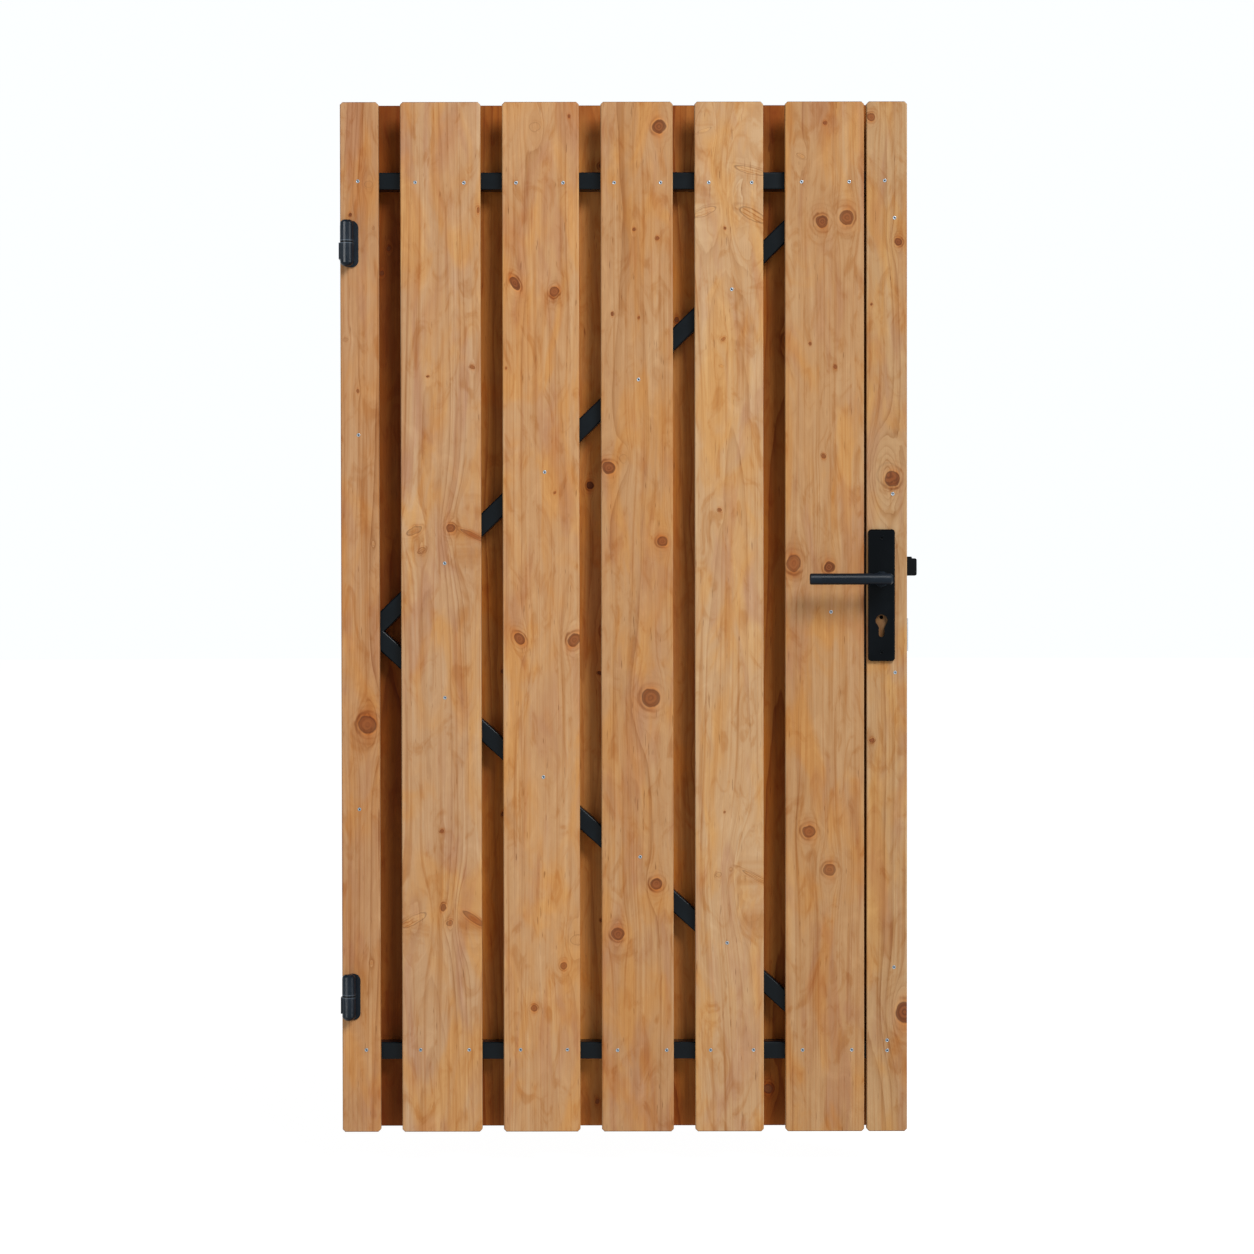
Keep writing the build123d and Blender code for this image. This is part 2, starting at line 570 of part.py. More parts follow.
def all_parts():
    """Every piece of the door by its node name."""
    parts = {}
    for number, piece in enumerate(front_boards(), 1):
        parts[f"front_board_{number}"] = piece
    for number, piece in enumerate(rear_boards(), 1):
        parts[f"rear_board_{number}"] = piece
    parts["hinge_stile"] = stile(HINGE_STILE_OUTER, HINGE_STILE_INNER, FRAME_BOTTOM, FRAME_TOP)
    parts["lock_stile_lower"] = stile(LOCK_STILE_INNER, LOCK_EDGE, FRAME_BOTTOM, LOCK_BOX_FOOT)
    parts["lock_stile_upper"] = stile(LOCK_STILE_INNER, LOCK_EDGE, LOCK_BOX_TOP, FRAME_TOP)
    parts["bottom_rail"] = rail(FRAME_BOTTOM)
    parts["top_rail"] = rail(FRAME_TOP - RAIL_HEIGHT)
    parts["upper_brace"], parts["lower_brace"] = braces()
    parts["lock_box"] = lock_box()
    parts["board_lug"] = board_lug()
    parts["hinge_stile_top_cap"] = end_cap(HINGE_STILE_OUTER, HINGE_STILE_INNER, FRAME_TOP, 1)
    parts["hinge_stile_foot_cap"] = end_cap(HINGE_STILE_OUTER, HINGE_STILE_INNER, FRAME_BOTTOM, -1)
    parts["lock_stile_top_cap"] = end_cap(LOCK_STILE_INNER, LOCK_EDGE, FRAME_TOP, 1)
    parts["lock_stile_foot_cap"] = end_cap(LOCK_STILE_INNER, LOCK_EDGE, FRAME_BOTTOM, -1)
    for name, seam in zip(("lower", "upper"), HINGE_SEAMS):
        parts[f"{name}_hinge_door_half"] = hinge_door_half(seam)
        parts[f"{name}_hinge_post_half"] = hinge_post_half(seam)
        parts[f"{name}_hinge_washer"] = hinge_washer(seam)
    parts["lock_case"] = lock_case()
    parts["lock_forend"] = lock_forend()
    parts["latch_bolt"] = latch_bolt()
    parts["dead_bolt"] = dead_bolt()
    parts["front_escutcheon"] = front_escutcheon()
    parts["rear_escutcheon"] = mirrored(parts["front_escutcheon"])
    parts["front_lever"] = front_lever()
    spindle_middle = Axis((SPINDLE_X, MIDDLE, SPINDLE_Z), (1, 0, 0))
    parts["rear_lever"] = parts["front_lever"].rotate(spindle_middle, 180)
    parts["spindle"] = spindle()
    return parts


os.makedirs("parts", exist_ok=True)
for node, shape in all_parts().items():
    export_step(shape, f"parts/{node}.step")
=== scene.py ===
"""Looks of the steel-framed garden door: wood, coated steel, screws, light and camera.

Lengths are in metres in the row frame, unless a name ends in _mm or _MM. Colours are linear.
"""
import math
import random

import bmesh
import bpy
from mathutils import Matrix, Vector


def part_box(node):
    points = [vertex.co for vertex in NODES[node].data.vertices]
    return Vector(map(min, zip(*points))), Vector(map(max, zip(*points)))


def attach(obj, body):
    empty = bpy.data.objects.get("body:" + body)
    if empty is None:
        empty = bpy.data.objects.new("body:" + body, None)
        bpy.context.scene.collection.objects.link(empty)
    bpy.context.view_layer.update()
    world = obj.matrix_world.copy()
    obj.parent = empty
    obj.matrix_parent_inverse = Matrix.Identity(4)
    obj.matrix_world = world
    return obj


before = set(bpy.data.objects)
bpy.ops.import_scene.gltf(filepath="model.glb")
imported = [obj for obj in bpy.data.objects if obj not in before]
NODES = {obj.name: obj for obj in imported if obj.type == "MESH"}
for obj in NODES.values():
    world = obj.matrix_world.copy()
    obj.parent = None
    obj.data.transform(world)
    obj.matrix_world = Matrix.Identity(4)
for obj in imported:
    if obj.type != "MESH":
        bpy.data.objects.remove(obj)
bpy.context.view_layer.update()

MM = 0.001

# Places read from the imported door
FIRST_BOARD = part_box("front_board_1")
REAR_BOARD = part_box("rear_board_1")
DOOR_LEFT = FIRST_BOARD[0].x
DOOR_FOOT = FIRST_BOARD[0].z
FRONT = FIRST_BOARD[0].y
REAR = REAR_BOARD[1].y
BOARD_THICKNESS = FIRST_BOARD[1].y - FIRST_BOARD[0].y
BOARD_LENGTH = FIRST_BOARD[1].z - FIRST_BOARD[0].z

# The photograph's camera: in front of the door, to the right of its left edge and above its foot
IMAGE_SIDE_PX = 1254
FOCAL_PX = 3433
PRINCIPAL_ROW_PX = 667
CAMERA_DISTANCE = 6.0
CAMERA_DIP = math.radians(1.0)
CAMERA_ROLL = math.radians(-0.083)
CAMERA_RIGHT = 0.4994
CAMERA_HEIGHT = 0.919
SENSOR_MM = 36.0


def on_door(x_mm, z_mm):
    """Row-frame X and Z of a point given from the door's left edge and foot."""
    return DOOR_LEFT + x_mm * MM, DOOR_FOOT + z_mm * MM


# Shader graphs


class Graph:
    """Short names for the shader nodes that the materials use."""

    def __init__(self, tree):
        self.tree = tree

    def node(self, kind, **settings):
        made = self.tree.nodes.new(kind)
        for name, value in settings.items():
            setattr(made, name, value)
        return made

    def feed(self, socket, value):
        if isinstance(value, bpy.types.NodeSocket):
            self.tree.links.new(value, socket)
        elif value is not None:
            socket.default_value = value

    def math(self, operation, a, b=None, clamp=False):
        made = self.node("ShaderNodeMath", operation=operation, use_clamp=clamp)
        for socket, value in zip(made.inputs, (a, b)):
            self.feed(socket, value)
        return made.outputs[0]

    def add(self, a, b):
        return self.math("ADD", a, b)

    def subtract(self, a, b):
        return self.math("SUBTRACT", a, b)

    def times(self, a, b):
        return self.math("MULTIPLY", a, b)

    def over(self, a, b):
        return self.math("DIVIDE", a, b)

    def larger(self, a, b):
        return self.math("MAXIMUM", a, b)

    def smaller(self, a, b):
        return self.math("MINIMUM", a, b)

    def length(self, a, b):
        return self.math("SQRT", self.add(self.times(a, a), self.times(b, b)))

    def split(self, vector):
        made = self.node("ShaderNodeSeparateXYZ")
        self.feed(made.inputs[0], vector)
        return made.outputs

    def join(self, x, y, z):
        made = self.node("ShaderNodeCombineXYZ")
        for socket, value in zip(made.inputs, (x, y, z)):
            self.feed(socket, value)
        return made.outputs[0]

    def scaled(self, vector, scale, shift=(0, 0, 0)):
        """The place times the scale, which a noise then shows as that many cells a metre."""
        made = self.node("ShaderNodeMapping")
        self.feed(made.inputs["Vector"], vector)
        made.inputs["Scale"].default_value = scale
        made.inputs["Location"].default_value = shift
        return made.outputs[0]

    def noise(self, vector, detail=2.0, roughness=0.5, distortion=0.0):
        """Noise over a place that is already scaled, from 0 to 1."""
        made = self.node("ShaderNodeTexNoise")
        self.feed(made.inputs["Vector"], vector)
        made.inputs["Scale"].default_value = 1.0
        made.inputs["Detail"].default_value = detail
        made.inputs["Roughness"].default_value = roughness
        made.inputs["Distortion"].default_value = distortion
        return made.outputs["Fac"]

    def span(self, value, low, high, to_low=0.0, to_high=1.0, kind="SMOOTHSTEP"):
        made = self.node("ShaderNodeMapRange", interpolation_type=kind, clamp=True)
        for socket, given in zip(made.inputs, (value, low, high, to_low, to_high)):
            self.feed(socket, given)
        return made.outputs[0]

    def bell(self, value, middle, half):
        """1 at the middle, falling to 0 half a width to either side."""
        return self.span(self.math("ABSOLUTE", self.subtract(value, middle)), 0.0, half, 1.0, 0.0)

    def tint(self, colour, share, tone):
        """The colour times the tone, as far as the share goes."""
        return self.mix(share, colour, tone, "MULTIPLY")

    def tints(self, colour, rows):
        """One tint after the other, each given as its share and tone."""
        for share, tone in rows:
            colour = self.tint(colour, share, tone)
        return colour

    def mix(self, share, a, b, blend="MIX"):
        made = self.node("ShaderNodeMix", data_type="RGBA", blend_type=blend)
        made.clamp_factor = True
        self.feed(made.inputs[0], share)
        self.feed(made.inputs[6], a if not isinstance(a, tuple) else (*a, 1.0))
        self.feed(made.inputs[7], b if not isinstance(b, tuple) else (*b, 1.0))
        return made.outputs[2]

    def bump(self, height, depth):
        made = self.node("ShaderNodeBump")
        self.feed(made.inputs["Height"], height)
        made.inputs["Distance"].default_value = depth
        return made.outputs[0]


def new_material(name):
    """A material with one shader, as its graph and that shader."""
    made = bpy.data.materials.new(name)
    made.use_nodes = True
    graph = Graph(made.node_tree)
    return made, graph, made.node_tree.nodes["Principled BSDF"]


# Wood

KNOT_INPUTS = ("X", "Z", "Radius", "Stretch", "Tilt", "Tone")
KNOT_CARRIED = ("Warp", "Bulge", "Core", "Halo", "Rim", "Heart", "Arc", "Pale", "Ripple")

# Shape of a knot and of the wood round it, in radii of the knot
CORE_EDGE = (0.88, 1.05)
PARTING_SIZE = 1.5
PARTING_NARROWING = 0.40
SWELL = 1.5
SWELL_FADE = 0.75
HALO_FADE = 1.15
HALO_LENGTHENING = 0.62
OUTLINE = (1.0, 0.14)
COLLAR = (1.22, 0.17)
ARC = (1.38, 0.36)
RIPPLE_PITCH, RIPPLE_SKEW, RIPPLE_FADE = 8.5, 1.6, 0.85
INNER_PITCH, INNER_SKEW, INNER_STRENGTH = 9.0, 1.3, 3.4

# Any two numbers that turn the places of the knots into unlike angles
LEAN_BY_X, LEAN_BY_Z = 97.0, 61.0


def knot_group():
    """One knot: it bends the grain round itself and adds to what the knots before it carried."""
    tree = bpy.data.node_groups.new("Knot", "ShaderNodeTree")
    sockets = tree.interface
    sockets.new_socket("Place", in_out="INPUT", socket_type="NodeSocketVector")
    for name in KNOT_CARRIED + KNOT_INPUTS:
        sockets.new_socket(name, in_out="INPUT", socket_type="NodeSocketFloat")
    for name in KNOT_CARRIED:
        sockets.new_socket(name, in_out="OUTPUT", socket_type="NodeSocketFloat")
    g = Graph(tree)
    given = g.node("NodeGroupInput").outputs
    result = g.node("NodeGroupOutput").inputs

    def keep_larger(name, value):
        g.feed(result[name], g.larger(given[name], value))

    place = g.split(given["Place"])
    dx = g.subtract(place[0], given["X"])
    dz = g.subtract(place[2], given["Z"])
    radius, tone = given["Radius"], given["Tone"]
    cosine = g.math("COSINE", given["Tilt"])
    sine = g.math("SINE", given["Tilt"])
    along = g.over(g.add(g.times(dx, cosine), g.times(dz, sine)), radius)
    across = g.over(g.subtract(g.times(dz, cosine), g.times(dx, sine)), g.times(radius, given["Stretch"]))
    reach = g.length(along, across)
    core = g.span(reach, *CORE_EDGE, 1.0, 0.0)
    # The grain parts before the knot and closes behind it, like water round a post.
    square = g.times(g.times(radius, radius), PARTING_SIZE)
    far = g.add(g.times(dx, dx), g.math("POWER", g.times(dz, PARTING_NARROWING), 2.0))
    parting = g.over(square, g.larger(far, square))
    g.feed(result["Warp"], g.subtract(given["Warp"], g.times(dx, parting)))
    fade = g.over(g.math("SQRT", far), radius)
    slender = g.smaller(given["Stretch"], 1.0)
    swell = g.times(g.times(radius, slender), g.math("EXPONENT", g.times(fade, -SWELL_FADE)))
    g.feed(result["Bulge"], g.add(given["Bulge"], g.times(swell, SWELL)))
    # A faint knot is a branch cut along: its outline shows more than its middle, which is pale and lined.
    faint = g.times(g.span(tone, 0.55, 0.35), g.span(tone, 0.15, 0.25))
    filled = g.times(tone, g.span(tone, 0.2, 0.6, 0.25, 1.0))
    keep_larger("Core", g.times(core, filled))
    glow = g.math("EXPONENT", g.times(g.length(along, g.times(across, HALO_LENGTHENING)), -HALO_FADE))
    glow = g.times(glow, g.subtract(1.0, g.times(g.times(core, faint), 0.9)))
    keep_larger("Halo", g.times(glow, g.span(tone, 0.0, 0.7)))
    keep_larger("Rim", g.times(g.bell(reach, *OUTLINE), g.times(g.math("SQRT", tone), 0.9)))
    keep_larger("Pale", g.larger(g.times(g.bell(reach, *COLLAR), tone), g.times(core, faint)))
    # Each knot leans its own way, so one side of it is darker.
    way = g.add(g.times(given["X"], LEAN_BY_X), g.times(given["Z"], LEAN_BY_Z))
    aside = g.add(g.times(along, g.math("COSINE", way)), g.times(across, g.math("SINE", way)))
    lean = g.over(aside, g.larger(reach, 0.5))
    arc = g.times(g.bell(reach, *ARC), g.span(lean, -0.25, 1.0))
    keep_larger("Arc", g.times(arc, tone))
    # Rings round the knot, which fade outwards
    wave = g.add(g.times(reach, RIPPLE_PITCH), g.times(lean, RIPPLE_SKEW))
    fading = g.math("EXPONENT", g.times(g.subtract(1.0, reach), RIPPLE_FADE))
    ripple = g.times(g.span(g.math("SINE", wave), -0.2, 1.0), g.smaller(fading, 1.0))
    wave = g.add(g.times(across, INNER_PITCH), g.times(along, INNER_SKEW))
    lines = g.span(g.math("SINE", wave), 0.1, 1.0)
    inner = g.times(g.times(lines, core), g.times(faint, INNER_STRENGTH))
    keep_larger("Ripple", g.times(g.larger(ripple, inner), tone))
    kept = g.times(given["Heart"], g.subtract(1.0, core))
    g.feed(result["Heart"], g.add(kept, g.times(core, reach)))
    return tree


KNOT = knot_group()


def with_knots(g, place, knots):
    """Chains a group node for each knot. Returns what the last one carries."""
    carried = {name: 0.0 for name in KNOT_CARRIED}
    for x_mm, z_mm, radius_mm, stretch, tilt, tone in knots:
        made = g.node("ShaderNodeGroup", node_tree=KNOT)
        g.feed(made.inputs["Place"], place)
        x, z = on_door(x_mm, z_mm)
        values = (x, z, radius_mm * MM, stretch, math.radians(tilt), tone)
        for name, value in zip(KNOT_INPUTS, values):
            made.inputs[name].default_value = value
        for name in KNOT_CARRIED:
            g.feed(made.inputs[name], carried[name])
            carried[name] = made.outputs[name]
    return carried


# How far the growth rings swing, lean and shake, and how far a knot's outline wobbles
RING_SWING = 0.040
RING_LEAN = 0.010
RING_SHAKE = 0.0045
KNOT_WOBBLE = 0.0060

# The late wood's part of a year, how sharply it darkens and how strong it is
LATE_RISE = (0.20, 0.94)
LATE_FALL = (0.95, 1.0)
LATE_POWER = 2.8
LATE_GAIN = 1.4

# The face towards the frame starts this deep in the board, and near the foot and the top it is painted darker, as
# painted shade
INSIDE_FROM, INSIDE_FULL = 0.60 * BOARD_THICKNESS, 0.95 * BOARD_THICKNESS
FOOT_SHADE = (0.02, 0.13)
TOP_SHADE = (0.11, 0.02)

# The painted shade on the wood behind a handle plate, which shows in its keyhole, fades out between these distances
# from the plate's edge
PLATE_SHADE_EDGE = (6 * MM, 3 * MM)
RELIEF_DEPTH = 0.35 * MM

# Tones that multiply the oiled tone
# Painted shade near the foot and the top of the face towards the frame
END_SHADE = (0.62, 0.54, 0.46)
GOLD = (1.07, 0.94, 0.68)
ROSE = (0.88, 0.79, 0.83)
FIGURE_DARK = (0.87, 0.74, 0.60)
FIGURE_LIGHT = (1.07, 1.10, 1.13)
PALE = (1.08, 1.16, 1.26)
STREAK = (0.85, 0.73, 0.60)
LINE = (0.89, 0.79, 0.69)
LATE_WOOD = (0.62, 0.45, 0.31)
PORE = (0.45, 0.33, 0.25)
# Painted shade on the wood behind a handle plate, seen through its keyhole
PLATE_SHADE = (0.46, 0.42, 0.38)
SAWN_END = (0.40, 0.30, 0.24)
KNOT_HALO = (0.92, 0.61, 0.36)
KNOT_RIPPLE = (0.68, 0.50, 0.36)
KNOT_ARC = (0.48, 0.30, 0.19)
KNOT_COLLAR = (1.26, 1.25, 1.12)
KNOT_MARGIN = (0.74, 0.66, 0.60)

# Tones of the knot itself
KNOT_LIGHT = (0.128, 0.035, 0.0112)
KNOT_DARK = (0.070, 0.017, 0.0062)
KNOT_ORANGE = (0.175, 0.058, 0.0200)
KNOT_OUTLINE = (0.044, 0.013, 0.007)


def late_wood(g, shifted, seed, from_pith, z, bulge, ring_mm):
    """How far each place is late wood, which ends every year's ring."""
    slow = g.noise(g.scaled(shifted, (4, 4, 0.9)), 1.5, 0.45)
    shake = g.noise(g.scaled(shifted, (34, 34, 4.0)), 3.0, 0.55)
    ring = from_pith
    for more in (g.times(slow, RING_SWING), g.times(z, RING_LEAN), g.times(shake, RING_SHAKE), bulge):
        ring = g.add(ring, more)
    phase = g.over(ring, ring_mm * MM)
    part = g.math("FRACT", phase)
    rise = g.math("POWER", g.span(part, *LATE_RISE, kind="LINEAR"), LATE_POWER)
    fall = g.span(part, *LATE_FALL, 1.0, 0.0)
    year = g.noise(g.join(g.times(phase, 0.55), seed, 0.0), 1.0)
    shown = g.noise(g.scaled(shifted, (26, 26, 2.2), (3, 1, 5)))
    band = g.times(g.times(rise, fall), g.span(year, 0.34, 0.66, 0.15, 1.0))
    return g.times(band, g.span(shown, 0.32, 0.62, 0.30, 1.0))


def knot_colours(g, colour, knot, figure, wobble):
    """The wood's colour with the knots in it."""
    colour = g.tints(colour, (
        (g.times(g.span(knot["Halo"], 0.06, 0.55), g.span(figure, 0.3, 0.65, 0.6, 1.0)), KNOT_HALO),
        (g.times(knot["Ripple"], g.span(figure, 0.38, 0.62, 0.15, 0.9)), KNOT_RIPPLE),
        (g.times(knot["Arc"], g.span(wobble, 0.2, 0.7, 0.4, 1.0)), KNOT_ARC),
        (g.times(knot["Pale"], g.span(wobble, 0.25, 0.6, 1.0, 0.4)), KNOT_COLLAR),
    ))
    rings = g.add(g.times(g.math("POWER", knot["Heart"], 0.8), 15.0), g.times(wobble, 5.0))
    tone = g.mix(g.span(g.math("SINE", rings), -0.6, 0.9), KNOT_LIGHT, KNOT_DARK)
    tone = g.mix(g.span(figure, 0.40, 0.65, 0.0, 0.7), tone, KNOT_ORANGE)
    tone = g.tint(tone, g.span(knot["Heart"], 0.55, 1.0, 0.0, 0.8), KNOT_MARGIN)
    colour = g.mix(knot["Core"], colour, tone)
    return g.mix(g.times(knot["Rim"], 0.82), colour, KNOT_OUTLINE)


# The share of the painted shade behind a handle plate
def behind(g, x, z, plate):
    """1 behind a handle plate, 0 beside it."""
    shares = []
    for value, axis in ((x, 0), (z, 2)):
        low, high = (corner[axis] for corner in plate)
        away = g.math("ABSOLUTE", g.subtract(value, (low + high) / 2))
        full, none = ((high - low) / 2 - margin for margin in PLATE_SHADE_EDGE)
        shares.append(g.span(away, full, none, 1.0, 0.0))
    return g.times(*shares)


def wood(name, knots, seed, middle, face, side, tone, inner, pith_mm, depth_mm, ring_mm, contrast, plate=None):
    """Oiled softwood cut from a log whose pith runs along the board, behind its outer face.

    The face towards the frame is painted in a darker inner tone, as painted shade for the gaps, and the
    wood that a handle plate covers is painted darker too, as shade seen through the keyhole.
    """
    material, g, shader = new_material(name)
    coords = g.node("ShaderNodeTexCoord").outputs
    place = coords["Object"]
    shifted = g.scaled(place, (1, 1, 1), (seed * 1.7, seed * 0.9, seed * 2.3))
    wobble = g.noise(g.scaled(shifted, (75, 75, 42)))
    x, y, z = g.split(place)
    offset = g.times(g.subtract(wobble, 0.5), KNOT_WOBBLE)
    knot = with_knots(g, g.join(g.add(x, offset), y, g.subtract(z, offset)), knots)
    parted = g.add(x, knot["Warp"])
    bent = g.join(parted, y, z)
    into = g.times(g.subtract(y, face), side)
    from_pith = g.length(g.add(g.subtract(parted, middle), -pith_mm * MM), g.add(into, depth_mm * MM))
    late = late_wood(g, shifted, seed, from_pith, z, knot["Bulge"], ring_mm)
    # Lines, streaks and figure follow the grain round the knots. Fibres, clouds and pores don't.
    line = g.noise(g.scaled(bent, (430, 200, 2.6), (seed, 0, seed)))
    streak = g.noise(g.scaled(bent, (120, 60, 2.2), (seed, 0, seed)), 3.0)
    pale = g.noise(g.scaled(bent, (75, 60, 2.8), (0, seed, 4)), 2.0, 0.5, 0.3)
    figure = g.noise(g.scaled(bent, (34, 30, 12), (2, 6, seed)), 3.0, 0.6, 1.5)
    fibre = g.noise(g.scaled(shifted, (1100, 700, 18)), 3.0, 0.6)
    gold = g.noise(g.scaled(shifted, (16, 16, 5.0)), 3.0, 0.55, 0.9)
    rose = g.noise(g.scaled(shifted, (20, 20, 4.5), (4, 0, 9)), 3.0, 0.55, 0.8)
    pores = g.noise(g.scaled(shifted, (420, 420, 30), (7, 3, 1)), 1.0)
    inside = g.span(into, INSIDE_FROM, INSIDE_FULL)
    above = g.subtract(z, DOOR_FOOT)
    at_top = g.span(above, *(BOARD_LENGTH - below for below in TOP_SHADE))
    near_end = g.add(g.span(above, *FOOT_SHADE, 1.0, 0.0), at_top)
    # Painted shade: the face towards the frame takes the darker inner tone
    colour = g.tints(g.mix(inside, tone, inner), (
        # painted shade near the ends of the face towards the frame
        (g.times(inside, near_end), END_SHADE),
        (g.span(gold, 0.42, 0.68), GOLD),
        (g.span(rose, 0.46, 0.70), ROSE),
        (g.span(figure, 0.50, 0.72), FIGURE_DARK),
        (g.span(figure, 0.48, 0.28), FIGURE_LIGHT),
        (g.span(pale, 0.50, 0.72), PALE),
        (g.span(streak, 0.52, 0.76), STREAK),
        (g.span(line, 0.52, 0.72, 0.0, 0.8), LINE),
        (g.math("MULTIPLY", late, contrast * LATE_GAIN, clamp=True), LATE_WOOD),
    ))
    shade = g.span(fibre, 0.25, 0.75, 0.92, 1.07, "LINEAR")
    colour = g.mix(1.0, colour, g.join(shade, shade, shade), "MULTIPLY")
    colour = g.tint(colour, g.span(pores, 0.71, 0.79, 0.0, 0.7), PORE)
    colour = knot_colours(g, colour, knot, figure, wobble)
    # Painted shade behind the handle plate, which shows through the keyhole
    if plate:
        colour = g.tint(colour, behind(g, x, z, plate), PLATE_SHADE)
    # Sawn ends take more oil
    end = g.span(g.math("ABSOLUTE", g.split(coords["Normal"])[2]), 0.35, 0.85)
    end_grain = g.noise(g.scaled(shifted, (520, 520, 40)))
    colour = g.tint(colour, g.times(end, g.span(end_grain, 0.2, 0.8, 0.75, 1.0)), SAWN_END)
    g.feed(shader.inputs["Base Color"], colour)
    rough = g.add(g.span(fibre, 0.2, 0.8, 0.50, 0.66), g.times(late, -0.06))
    g.feed(shader.inputs["Roughness"], g.add(rough, g.times(end, 0.15)))
    shader.inputs["Specular IOR Level"].default_value = 0.06
    # A bump works its height out three times, so the relief leaves the chain of knots out.
    plain = g.noise(g.scaled(shifted, (240, 120, 3.0)), 1.0)
    relief = g.add(g.times(fibre, 0.40), g.times(plain, 0.35))
    g.feed(shader.inputs["Normal"], g.bump(relief, RELIEF_DEPTH))
    return material


# Each knot: mm from the door's left edge, mm above its foot, its radius in mm along its own axis, how
# tall it is for that, the axis's tilt in degrees and how dark it is.
FRONT_KNOTS = {
    1: [(18, 1604, 3.0, 1.0, 0, 0.9), (45, 714, 14.0, 1.0, 0, 0.75), (10, 1386, 4, 0.7, 20, 0.4),
        (30, 1297, 2.5, 1.2, 0, 0.6), (56, 1030, 3, 0.8, -15, 0.35), (58, 1580, 2, 1.5, 0, 0.4),
        (50, 1657, 7, 0.8, 10, 0.16), (52, 296, 3, 0.8, 0, 0.25)],
    2: [(192, 1057, 7.5, 0.95, 10, 0.75), (128, 1053, 14.0, 0.45, 25, 0.45), (141, 1018, 7.5, 0.62, 35, 0.42),
        (232, 1044, 26.0, 0.14, -27, 0.50), (176, 527, 3.5, 0.8, 0, 0.8), (178, 393, 4.0, 1.6, -15, 0.7),
        (188, 367, 6.0, 0.9, 0, 0.5), (125, 372, 24.0, 0.30, 28, 0.28), (231, 374, 22.0, 0.24, -35, 0.5),
        (230, 1338, 4.0, 0.8, 0, 0.6), (152, 1322, 2.8, 0.7, 0, 0.8), (240, 1613, 2.5, 2.0, 0, 0.6)],
    3: [(305, 1484, 7.0, 1.7, 32, 0.85), (374, 1469, 7.0, 1.15, -25, 0.8), (312, 864, 7.5, 1.4, 35, 0.8),
        (407, 862, 9.5, 1.25, -35, 0.75), (400, 1774, 2.2, 1.0, 0, 0.9), (388, 291, 6.0, 1.0, 0, 0.6),
        (336, 217, 5.5, 0.9, 0, 0.65), (340, 1756, 9.0, 0.9, 0, 0.10), (374, 1119, 2.6, 1.0, 0, 0.6),
        (412, 337, 12.0, 0.8, 0, 0.14), (290, 1335, 2, 1, 0, 0.6)],
    4: [(556, 1757, 11.5, 1.0, 0, 0.80), (468, 1162, 10.0, 1.05, 20, 0.82), (561, 1034, 8.5, 0.9, 30, 0.68),
        (541, 760, 15.0, 1.0, 0, 0.72), (550, 435, 9.5, 1.0, 0, 0.85), (483, 347, 10.5, 0.95, 0, 0.74),
        (513, 1577, 3.0, 0.9, 0, 0.75), (554, 1562, 3.0, 1.0, 0, 0.85), (475, 1430, 2.6, 1.3, 0, 0.8),
        (520, 1425, 2.2, 1.0, 0, 0.75), (494, 1178, 7.0, 1.0, 0, 0.08)],
    5: [(636, 1608, 20.0, 0.34, 24, 0.26), (719, 1603, 25.0, 0.36, -28, 0.32), (716, 1680, 27.0, 0.22, -14, 0.30),
        (668, 1387, 4.5, 0.7, 0, 0.5), (662, 1088, 3.6, 0.8, 0, 0.65), (636, 1750, 12, 0.25, 22, 0.22),
        (728, 444, 30.0, 0.13, -28, 0.36), (659, 451, 5.5, 0.7, 20, 0.4), (680, 461, 3.5, 0.9, 0, 0.35),
        (671, 1580, 2.2, 1.0, 0, 0.8), (664, 1340, 3.5, 0.6, 10, 0.3), (670, 560, 2.0, 1.0, 0, 0.6)],
    6: [(841, 1591, 9.5, 1.1, 10, 0.80), (884, 1598, 11.5, 1.05, -10, 0.72), (791, 995, 12.0, 1.15, 0, 0.62),
        (853, 988, 9.5, 0.95, 0, 0.85), (817, 526, 10.5, 0.95, 0, 0.66), (853, 459, 10.5, 0.95, 0, 0.58),
        (846, 1762, 3.0, 0.9, 0, 0.85), (804, 1705, 8.0, 0.45, -25, 0.30), (843, 1182, 3.6, 1.0, 0, 0.7),
        (820, 1378, 2.4, 1.0, 0, 0.8), (863, 1338, 2.6, 1.0, 0, 0.8), (920, 642, 3.5, 1.0, 0, 0.9)],
    7: [(926, 1773, 6.5, 1.0, 0, 0.72), (974, 1555, 6.0, 1.0, 0, 0.85), (963, 1142, 12.5, 1.0, 0, 0.85),
        (928, 685, 4.5, 0.8, 15, 0.85), (985, 209, 15.0, 1.15, 0, 0.85), (927, 1446, 2.0, 1.0, 0, 0.8),
        (956, 1150, 20.0, 1.0, 0, 0.05)],
}

# Each board: oiled tone, inner tone (painted darker, as shade in the gaps), the pith's offset and depth in mm, ring
# width in mm, strength of the rings
FRONT_WOOD = {
    1: ((0.293, 0.155, 0.071), (0.26, 0.090, 0.018), 48, 52, 5.6, 0.60),
    2: ((0.313, 0.182, 0.092), (0.35, 0.130, 0.026), -16, 60, 5.2, 0.42),
    3: ((0.320, 0.178, 0.082), (0.38, 0.145, 0.032), 16, 86, 6.6, 0.42),
    4: ((0.297, 0.163, 0.074), (0.35, 0.125, 0.026), -14, 76, 6.4, 0.50),
    5: ((0.326, 0.197, 0.099), (0.38, 0.150, 0.033), 4, 70, 5.6, 0.32),
    6: ((0.286, 0.158, 0.071), (0.34, 0.125, 0.026), 26, 96, 7.2, 0.42),
    7: ((0.286, 0.170, 0.082), (0.30, 0.105, 0.020), -30, 60, 5.8, 0.52),
}
